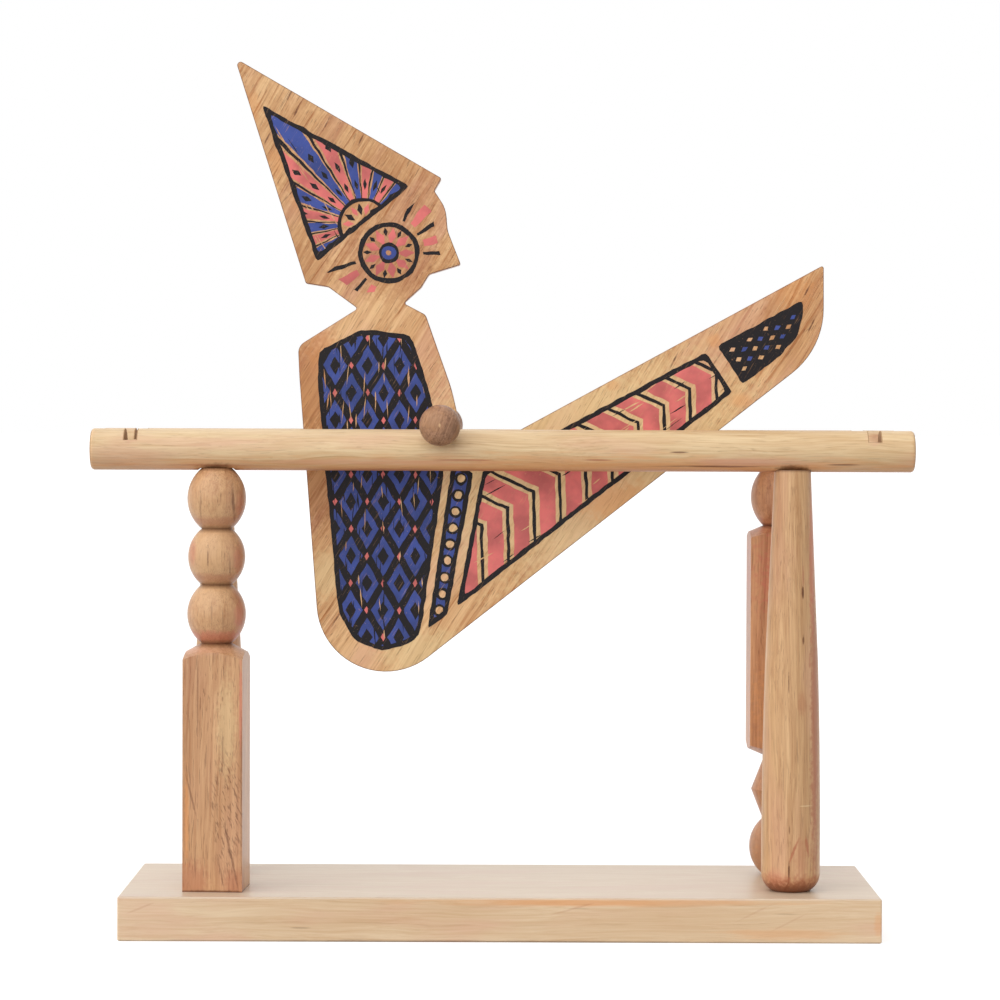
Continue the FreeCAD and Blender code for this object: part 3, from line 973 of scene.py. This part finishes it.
def sliver(centre, long, wide, angle):
    """A thin stroke with pointed ends."""
    half, thick = long / 2, wide / 2
    shape = [(-half, 0), (-0.3 * half, -thick), (0.4 * half, -0.8 * thick), (half, 0), (0.3 * half, thick)]
    return placed(shape, centre, angle)


def room(spot, outline):
    """How far a place lies inside a convex outline that runs anticlockwise."""
    return min((end - start).normalized().cross(Vector(spot) - start) for start, end in pairs(outline))


def ray(centre, angle, opening, near, far):
    """A wedge that widens away from a centre."""
    x, z = centre
    out = []
    for side, reach in ((-0.5, near), (-0.5, far), (0.5, far), (0.5, near)):
        at = angle + side * opening
        out.append((x + reach * math.cos(at), z + reach * math.sin(at)))
    return out


def chevron(centre, angle, thick, slope, half_width=45.0):
    """A bent stripe that points along a direction."""
    back = -slope * half_width
    shape = [(back, half_width), (0, 0), (back, -half_width)]
    shape += [(back + thick, -half_width), (thick, 0), (back + thick, half_width)]
    return placed(shape, centre, angle)


class Ornament:
    """Flat printed shapes in layers; each shape stays inside the shapes that it names."""

    def __init__(self, wobble):
        self.wobble = wobble
        self.shapes = []

    def lay(self, colour, corners, *within, wobble=None):
        """Adds a shape in an ink or in bare wood, and returns its number."""
        amount = self.wobble if wobble is None else wobble
        edge = strayed(anticlockwise(corners), amount, len(self.shapes))
        self.shapes.append((colour, set(within), edge))
        return len(self.shapes) - 1

    def panel(self, ground, corners, line, radius):
        """Adds a black line round a ground, and returns the number of the ground."""
        corners = anticlockwise(corners)
        self.lay("black", softened(corners, radius))
        return self.lay(ground, softened(shrunk(corners, line), radius))

    def strokes(self, draw, within, box, angle, **counts):
        """Adds a number of thin cut strokes of each colour at random in a box of (x, z) limits."""
        (x0, x1), (z0, z1) = box
        for colour, count in counts.items():
            for _ in range(count):
                at = (draw.uniform(x0, x1), draw.uniform(z0, z1))
                turned = angle + draw.uniform(-0.12, 0.12)
                long, wide = draw.uniform(4.0, 11.0), draw.uniform(0.3, 0.65)
                self.lay(colour, sliver(at, long, wide, turned), within, wobble=0.1)

    def triangles(self):
        """The corners, and the printed cells of each ink as lists of corner numbers."""
        spots, faces = [], []
        for _, _, edge in self.shapes:
            faces.append(list(range(len(spots), len(spots) + len(edge))))
            spots.extend(Vector(spot) for spot in edge)
        corners, _, cells, _, _, covers = geometry.delaunay_2d_cdt(spots, [], faces, 1, 1e-4)
        found = {"black": [], "blue": [], "coral": [], "bare": []}
        for cell, covering in zip(cells, covers):
            shown = [n for n in covering if self.shapes[n][1] <= set(covering)]
            if shown:
                found[self.shapes[max(shown)][0]].append(cell)
        return corners, found


PENNANT = [(-73.0, 129.0), (-50.5, 66.0), (-13.0, 96.3)]
HEAD = [
    (-46.5, 61.5), (-33.5, 53.5), (-17.5, 54.5), (-12.8, 59.5), (-9.6, 65.0),
    (-0.5, 68.4), (-3.0, 78.5), (-3.8, 86.0), (-9.6, 91.0),
]
SUN = (-21.5, 69.5)
TORSO = [
    (-50.0, 29.5), (-50.0, 17.0), (-41.6, -76.0), (-34.2, -88.0), (-24.0, -91.6), (-13.0, -88.8),
    (-8.4, -85.0), (1.4, -16.0), (-5.0, 14.0), (-12.5, 36.5), (-32.5, 38.6),
]
SASH = [(4.4, -14.6), (-5.4, -82.6), (2.5, -76.6), (12.9, -19.4)]
LEG = [(16.6, -18.6), (6.4, -73.6), (117.6, 13.8), (106.8, 29.8)]
TOE = [(121.6, 17.0), (136.9, 28.6), (144.0, 37.0), (146.0, 46.0), (145.6, 50.8), (111.4, 32.4)]
LEG_START = (8.0, -46.0)
LEG_ANGLE = math.radians(33.5)
UPRIGHT = math.pi / 2


def print_pennant(art, draw, line):
    """A fan of stripes that opens from a half rosette in the middle of the lower side."""
    stripes, petals = 13, 7
    hub, past_the_panel = 9.0, 70.0
    ground = art.panel("bare", PENNANT, line, 1.6)
    foot = (Vector(PENNANT[1]) + Vector(PENNANT[2])) / 2
    across = Vector(PENNANT[2]) - Vector(PENNANT[1])
    first = math.atan2(across.y, across.x)
    step = math.pi / stripes
    for k in range(stripes):
        angle = first + (k + 0.5) * step
        art.lay("coral" if k % 2 else "blue", ray(foot, angle, 0.7 * step, hub, past_the_panel), ground)
        art.lay("black", ray(foot, angle + 0.5 * step, 0.13 * step, hub, past_the_panel), ground)
    for ring in range(3):
        for k in range(stripes):
            angle = first + (k + 0.5) * step
            at = ahead(foot, angle, 16.0 + 9.0 * ring)
            art.lay("black", lozenge(at, 4.6, 1.5 + 0.5 * ring, angle), ground)
    art.strokes(draw, ground, ((-68, -14), (66, 122)), math.radians(-62), bare=30, black=16)
    art.lay("black", disc(foot, 10.6), ground)
    art.lay("bare", disc(foot, 9.2), ground)
    for k in range(petals):
        angle = first + (k + 0.5) * math.pi / petals
        art.lay("coral" if k % 2 else "black", lozenge(ahead(foot, angle, 6.0), 5.0, 2.2, angle), ground)


def print_sun(art, line):
    """A rosette with rays on the two sides where the head has room."""
    ray_count, petals = 22, 9
    past_the_head = 45.0
    ground = art.lay("bare", HEAD)
    for k in (*range(5), *range(12, 16)):
        angle = math.radians(360 / ray_count * k)
        if k % 2:
            art.lay("coral", ray(SUN, angle, math.radians(10), 14.6, past_the_head), ground)
        else:
            art.lay("black", ray(SUN, angle, math.radians(4.5), 13.8, past_the_head), ground)
    art.lay("bare", disc(SUN, 13.6), ground)
    art.lay("black", disc(SUN, 12.4))
    art.lay("bare", disc(SUN, 12.4 - line))
    for k in range(petals):
        angle = math.radians(360 / petals * k)
        between = angle + math.radians(180 / petals)
        art.lay("coral", lozenge(ahead(SUN, angle, 6.9), 7.2, 3.4, angle))
        art.lay("black", lozenge(ahead(SUN, between, 8.6), 3.4, 1.7, between))
    art.lay("black", disc(SUN, 4.2, 20))
    art.lay("blue", disc(SUN, 3.0, 16))
    art.lay("bare", disc(SUN, 1.2, 10))


def print_torso(art, draw, line, wide, high):
    """Lozenges on black, with cut strokes."""
    outer, inner = 0.74, 0.34
    ground = art.panel("black", TORSO, line, 3.0)
    for row in range(-9, 5):
        for column in range(-4, 3):
            at = ((column + 0.5 * (row % 2)) * wide - 4.0, row * high / 2 + 2.0)
            art.lay("blue", lozenge(at, high * outer, wide * outer, UPRIGHT), ground)
            art.lay("black", lozenge(at, high * inner, wide * inner, UPRIGHT), ground)
            beside = (at[0] + wide / 2, at[1])
            art.lay("coral", lozenge(beside, 3.2, 1.7, UPRIGHT), ground)
    art.strokes(draw, ground, ((-49, 2), (-90, 38)), UPRIGHT, black=150, bare=70)


def print_sash(art, line):
    """A blue band with bare dots."""
    ground = art.panel("blue", SASH, line, 1.5)
    top = (Vector(SASH[0]) + Vector(SASH[3])) / 2
    foot = (Vector(SASH[1]) + Vector(SASH[2])) / 2
    for k in range(9):
        at = top.lerp(foot, (k + 0.7) / 9.4)
        art.lay("black", disc(at, 2.6, 16), ground)
        art.lay("bare", disc(at, 1.6, 12), ground)


def print_leg(art, draw, line):
    """Coral chevrons with a black line after each."""
    pitch, slope = 12.6, 0.62
    ground = art.panel("bare", LEG, line, 2.0)
    for k in range(-3, 10):
        for colour, start, thick in (("coral", 0.0, 7.6), ("black", 9.2, 1.5)):
            at = ahead(LEG_START, LEG_ANGLE, pitch * k + start)
            art.lay(colour, chevron(at, LEG_ANGLE, thick, slope), ground)
    art.strokes(draw, ground, ((6, 117), (-72, 30)), LEG_ANGLE, bare=70, black=36)


def print_toe(art, line):
    """Rows of small lozenges on black."""
    row_pitch, pitch = 4.0, 4.4
    ground = art.panel("black", TOE, line, 1.8)
    cuff = (Vector(TOE[0]) + Vector(TOE[-1])) / 2
    for row in range(8):
        for column in range(-4, 5):
            at = ahead(cuff, LEG_ANGLE, 4.2 + row_pitch * row, (column + 0.5 * (row % 2)) * pitch)
            if room(at, TOE) > 1.3 * line:
                art.lay("blue" if row % 2 else "bare", lozenge(at, 3.0, 1.9, LEG_ANGLE), ground)


def ornament(settings):
    """The whole print: a fan, a sun, lozenges, a sash, chevrons and a dotted patch, bare at the axle."""
    art = Ornament(settings.wobble / MM)
    draw = random.Random(settings.seed)
    # Without this the noise library takes its seed from the clock
    noise.seed_set(settings.seed)
    line = settings.line / MM
    print_pennant(art, draw, line)
    print_sun(art, line)
    print_torso(art, draw, line, settings.lozenge_width / MM, settings.lozenge_height / MM)
    print_sash(art, line)
    print_leg(art, draw, line)
    print_toe(art, line)
    art.lay("bare", disc((0, 0), 3.4, 20), wobble=0.1)
    return art


def film_mesh(name, corners, cells, side, film):
    """One colour of the print as a thin closed film that sits a little way into a face of the board."""
    bite = 0.01 * MM
    build = bmesh.new()
    made = {}

    def corner(index):
        if index not in made:
            x, z = corners[index]
            spot = (AXLE_CENTRE.x + x * MM, side * (BOARD_BACK - bite), AXLE_CENTRE.z + z * MM)
            made[index] = build.verts.new(spot)
        return made[index]

    for cell in cells:
        build.faces.new([corner(index) for index in cell])
    bmesh.ops.dissolve_limit(build, angle_limit=0.01, verts=build.verts, edges=build.edges)
    flat = [*build.faces, *build.edges, *build.verts]
    raised = bmesh.ops.extrude_face_region(build, geom=flat, use_keep_orig=True)
    top = [item for item in raised["geom"] if isinstance(item, bmesh.types.BMVert)]
    bmesh.ops.translate(build, verts=top, vec=(0, side * (film + bite), 0))
    bmesh.ops.recalc_face_normals(build, faces=build.faces)
    mesh = bpy.data.meshes.new(name)
    build.to_mesh(mesh)
    build.free()
    return linked(bpy.data.objects.new(name, mesh))


def linked(thing):
    """Puts a new object in the scene."""
    bpy.context.scene.collection.objects.link(thing)
    return thing


def ink_material(name, ink, wood, dryness):
    """Printed ink over the board's own wood."""
    material, tree, shader = new_material(name)
    place = grain_space(tree, BOARD_GRAIN, BOARD_PITH)
    under = cut_wood(tree, wood, "board", place)
    film = use_group(tree, printed_ink, Place=place, Ink=ink, Wood=under["Color"], Dryness=dryness)
    fill_named(
        shader,
        Base_Color=film["Color"],
        Roughness=film["Roughness"],
        Specular_IOR_Level=0.2,
        Normal=bumped(film["Height"], 0.02 * MM),
    )
    return material


def lay_print(settings):
    """The ornament on both faces of the board, one film for each ink."""
    corners, found = ornament(settings.print).triangles()
    for colour, dryness in (("black", 0.28), ("blue", 0.35), ("coral", 0.45)):
        ink = getattr(settings.print, colour)
        material = ink_material(colour.capitalize() + " ink", ink, settings.wood, dryness)
        for face, side in (("front", -1), ("back", 1)):
            piece = film_mesh(f"print_{colour}_{face}", corners, found[colour], side, settings.print.film)
            piece.data.materials.append(material)
            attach(piece, "acrobat")


# Stage


def seen_directly(tree):
    """One for camera, glossy and transmission rays, else zero."""
    rays = put(tree, "LightPath").outputs
    seen, mirrored, through = (Flow(rays[f"Is {kind} Ray"]) for kind in ("Camera", "Glossy", "Transmission"))
    return larger(larger(seen, mirrored), through)


def set_floor(stage):
    """A wide pale floor that keeps the shadow, brighter where it is seen than where it lights the toy."""
    mesh = bpy.data.meshes.new("floor")
    reach = 40.0
    corners = [(-reach, -reach, 0), (reach, -reach, 0), (reach, reach, 0), (-reach, reach, 0)]
    mesh.from_pydata(corners, [], [(0, 1, 2, 3)])
    linked(bpy.data.objects.new("floor", mesh))
    material = bpy.data.materials.new("Pale floor")
    material.use_nodes = True
    tree = material.node_tree
    tree.nodes.clear()
    lighting, shown = (
        result(tree, "BsdfDiffuse", tuple(share * channel for channel in stage.floor))
        for share in (stage.floor_bounce, stage.floor_shade)
    )
    glow = result(tree, "Emission", (1, 1, 1), stage.floor_glow)
    shown = result(tree, "AddShader", shown, glow)
    put(tree, "OutputMaterial", result(tree, "MixShader", seen_directly(tree), lighting, shown))
    mesh.materials.append(material)


def set_surroundings(stage):
    """Soft light from all round, more from behind and above, that is seen as plain white."""
    world = bpy.data.worlds.new("Surroundings")
    bpy.context.scene.world = world
    world.use_nodes = True
    tree = world.node_tree
    _, y, z = parts(result(tree, "TexCoord"))
    lit = spread(y, 0.1, 0.9, stage.ambient, stage.ambient + stage.backdrop)
    lit = lit + spread(z, 0.2, 0.9, 0.0, stage.overhead)
    strength = spread(seen_directly(tree), 0.0, 1.0, lit, 1.0)
    fill_named(tree.nodes["Background"], Color=(1, 1, 1), Strength=strength)


def set_lamp(name, toward, angle, strength):
    """A wide, distant lamp that shines in a direction."""
    lamp = bpy.data.lights.new(name, "SUN")
    lamp.angle = math.radians(angle)
    lamp.energy = strength
    holder = linked(bpy.data.objects.new(name, lamp))
    holder.rotation_mode = "QUATERNION"
    holder.rotation_quaternion = Vector(toward).to_track_quat("-Z", "Y")


def set_camera(stage):
    """The camera, in front of the toy and tilted down a little."""
    lens = bpy.data.cameras.new("camera")
    lens.lens = stage.lens
    lens.sensor_width = 36.0
    lens.clip_start, lens.clip_end = 0.05, 60.0
    camera = linked(bpy.data.objects.new("camera", lens))
    camera.location = (stage.camera_x, -stage.camera_back, stage.camera_height)
    tilt = Matrix.Rotation(math.pi / 2 - stage.camera_tilt, 3, "X")
    camera.rotation_mode = "QUATERNION"
    camera.rotation_quaternion = (tilt @ Matrix.Rotation(stage.camera_roll, 3, "Z")).to_quaternion()
    bpy.context.scene.camera = camera


# Operators


class ACROBAT_TOY_OT_base(Operator):
    """Finish the base board and its screws"""

    bl_idname = "acrobat_toy.base"
    bl_label = "Base board"

    def execute(self, context):
        finish_base(context.scene.acrobat_toy.wood)
        return {"FINISHED"}


class ACROBAT_TOY_OT_posts(Operator):
    """Finish the four turned posts"""

    bl_idname = "acrobat_toy.posts"
    bl_label = "Posts"

    def execute(self, context):
        finish_posts(context.scene.acrobat_toy.wood)
        return {"FINISHED"}


class ACROBAT_TOY_OT_bars(Operator):
    """Finish the two bars and their dowels"""

    bl_idname = "acrobat_toy.bars"
    bl_label = "Bars"

    def execute(self, context):
        finish_bars(context.scene.acrobat_toy.wood)
        return {"FINISHED"}


class ACROBAT_TOY_OT_axle(Operator):
    """Finish the axle and its end balls"""

    bl_idname = "acrobat_toy.axle"
    bl_label = "Axle and balls"

    def execute(self, context):
        finish_axle(context.scene.acrobat_toy.wood)
        return {"FINISHED"}


class ACROBAT_TOY_OT_board(Operator):
    """Finish the wood of the acrobat board"""

    bl_idname = "acrobat_toy.board"
    bl_label = "Acrobat board"

    def execute(self, context):
        finish_board(context.scene.acrobat_toy.wood)
        return {"FINISHED"}


class ACROBAT_TOY_OT_ornament(Operator):
    """Print the ornament on both faces of the acrobat board"""

    bl_idname = "acrobat_toy.ornament"
    bl_label = "Printed ornament"

    def execute(self, context):
        lay_print(context.scene.acrobat_toy)
        return {"FINISHED"}


class ACROBAT_TOY_OT_stage(Operator):
    """Set up the floor, the light and the camera"""

    bl_idname = "acrobat_toy.stage"
    bl_label = "Stage"

    def execute(self, context):
        stage = context.scene.acrobat_toy.stage
        context.scene.view_settings.view_transform = "Standard"
        set_floor(stage)
        set_surroundings(stage)
        set_lamp("key", (0.55, 0.75, -0.62), 90, stage.key)
        set_camera(stage)
        return {"FINISHED"}


STEPS = (
    ACROBAT_TOY_OT_base,
    ACROBAT_TOY_OT_posts,
    ACROBAT_TOY_OT_bars,
    ACROBAT_TOY_OT_axle,
    ACROBAT_TOY_OT_board,
    ACROBAT_TOY_OT_ornament,
    ACROBAT_TOY_OT_stage,
)


class ACROBAT_TOY_PT_panel(Panel):
    """Lists the settings and the steps"""

    bl_label = "Acrobat Toy"
    bl_idname = "ACROBAT_TOY_PT_panel"
    bl_space_type = "VIEW_3D"
    bl_region_type = "UI"
    bl_category = "Acrobat Toy"

    def draw(self, context):
        toy = context.scene.acrobat_toy
        for group in (toy.wood, toy.print, toy.stage):
            box = self.layout.box()
            for name in group.__annotations__:
                box.prop(group, name)
        for step in STEPS:
            self.layout.operator(step.bl_idname)


CLASSES = (WoodSettings, PrintSettings, StageSettings, ToySettings, *STEPS, ACROBAT_TOY_PT_panel)


def register():
    for cls in CLASSES:
        bpy.utils.register_class(cls)
    bpy.types.Scene.acrobat_toy = PointerProperty(type=ToySettings)


def unregister():
    del bpy.types.Scene.acrobat_toy
    for cls in reversed(CLASSES):
        bpy.utils.unregister_class(cls)


def main():
    """Makes every piece and the stage."""
    register()
    for step in STEPS:
        space, name = step.bl_idname.split(".")
        getattr(getattr(bpy.ops, space), name)()


if __name__ == "__main__":
    main()
